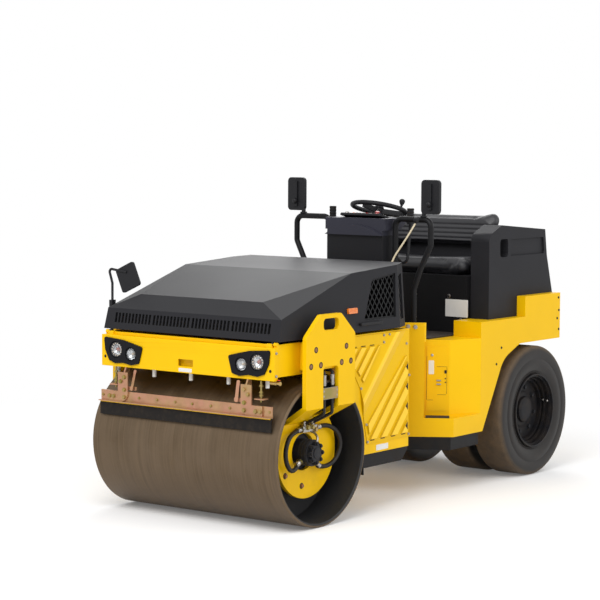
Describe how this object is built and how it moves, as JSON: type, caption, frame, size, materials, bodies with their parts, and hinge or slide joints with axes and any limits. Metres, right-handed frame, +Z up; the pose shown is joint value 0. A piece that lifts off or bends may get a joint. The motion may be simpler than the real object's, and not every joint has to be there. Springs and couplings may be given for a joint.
{
  "type": "combination roller",
  "caption": "Articulated ride-on compaction roller with a smooth vibrating drum in front, twin smooth tyres a side behind and an open operator's platform.",
  "frame": {"origin": "on the ground, halfway along the machine, on its centre plane", "axes": "+X towards the drum end, +Y the machine's left side, +Z up"},
  "size_m": [2.996, 1.366, 1.832],
  "materials": {
    "yellow_paint": "satin",
    "black_paint": "satin",
    "hood_shell": "moulded",
    "drum_steel": "worn",
    "bare_steel": "machined",
    "zinc": "passivated",
    "engine_iron": "painted",
    "lens": "clear",
    "white_plastic": "moulded",
    "red_lens": "clear",
    "amber_lens": "clear",
    "moulding": "grained",
    "seat_skin": "vinyl",
    "rubber": "matt",
    "tread": "dusty",
    "mirror_glass": "silvered"
  },
  "bodies": {
    "front_frame": {"front_frame": "yellow_paint", "front_skirts": "black_paint", "engine_block": "engine_iron", "fork_left": "yellow_paint", "fork_right": "yellow_paint", "fork_pad_left": "yellow_paint", "fork_pad_right": "yellow_paint", "drum_motor_left": "engine_iron", "drum_motor_right": "engine_iron", "lamp_panel": "yellow_paint", "headlamps": "lens", "lamp_bezels": "moulding", "louvre_panel_left": "yellow_paint", "louvre_panel_right": "yellow_paint", "drum_hoses": "rubber", "hose_fittings": "bare_steel", "front_scraper": "zinc", "scraper_rubber": "rubber", "spray_pipe": "white_plastic", "rear_scraper": "black_paint"},
    "drum": {"drum": "drum_steel", "drum_hub_left": "bare_steel", "drum_hub_right": "bare_steel"},
    "hood": {"hood": "hood_shell", "hood_grilles": "black_paint", "side_lamps": "amber_lens", "hood_grips": "moulding", "corner_mirror": "moulding"},
    "knuckle": {"pivot_knuckle": "black_paint"},
    "steer_barrel": {"steer_barrel": "black_paint"},
    "steer_rod": {"steer_rod": "bare_steel"},
    "rear_frame": {"rear_frame": "yellow_paint", "rear_skirts": "black_paint", "axle_stubs": "black_paint", "seat_shell": "hood_shell", "seat_base": "black_paint", "seat_cushion": "seat_skin", "seat_backrest": "seat_skin", "console": "moulding", "travel_levers": "black_paint", "grab_rail_left": "black_paint", "grab_rail_right": "black_paint", "mirrors": "moulding", "mirror_panes": "mirror_glass", "floor_mat": "rubber", "tail_lamps": "red_lens", "tow_clevis": "yellow_paint", "service_doors": "yellow_paint", "step_treads": "rubber"},
    "steering_wheel": {"steering_wheel": "moulding"},
    "left_wheels": {"tyres_left": "tread", "rims_left": "black_paint"},
    "right_wheels": {"tyres_right": "tread", "rims_right": "black_paint"}
  },
  "joints": [
    {"name": "drum_spin", "type": "hinge", "parent": "front_frame", "child": "drum", "pos_m": [1.1025, 0, 0.395], "axis": [0, 1, 0], "continuous": true},
    {"name": "hood_open", "type": "hinge", "parent": "front_frame", "child": "hood", "pos_m": [1.4275, 0, 1], "axis": [0, 1, 0], "range_deg": [0, 55]},
    {"name": "steer", "type": "hinge", "parent": "front_frame", "child": "knuckle", "pos_m": [0.0025, 0, 0.53], "axis": [0, 0, 1], "range_deg": [-32, 32]},
    {"name": "frame_roll", "type": "hinge", "parent": "knuckle", "child": "rear_frame", "pos_m": [0.0025, 0, 0.53], "axis": [1, 0, 0], "range_deg": [-8, 8]},
    {"name": "steer_barrel_turn", "type": "hinge", "parent": "front_frame", "child": "steer_barrel", "pos_m": [0.4525, 0.02, 0.53], "axis": [0, 0, 1], "range_deg": [-2, 2]},
    {"name": "steer_rod_slide", "type": "slide", "parent": "steer_barrel", "child": "steer_rod", "axis": [-0.9762, 0.2169, 0], "range_m": [-0.066, 0.066]},
    {"name": "steering_wheel_turn", "type": "hinge", "parent": "rear_frame", "child": "steering_wheel", "pos_m": [-0.3275, 0, 1.65], "axis": [-0.2588, 0, 0.9659], "continuous": true},
    {"name": "left_wheels_spin", "type": "hinge", "parent": "rear_frame", "child": "left_wheels", "pos_m": [-1.0975, 0.4, 0.4], "axis": [0, 1, 0], "continuous": true},
    {"name": "right_wheels_spin", "type": "hinge", "parent": "rear_frame", "child": "right_wheels", "pos_m": [-1.0975, -0.4, 0.4], "axis": [0, 1, 0], "continuous": true}
  ],
  "couplings": [
    {"joint": "steer_rod_slide", "follows": "steer", "m_per_rad": 0.11199},
    {"joint": "steer_barrel_turn", "follows": "steer", "ratio": 0.04534}
  ]
}
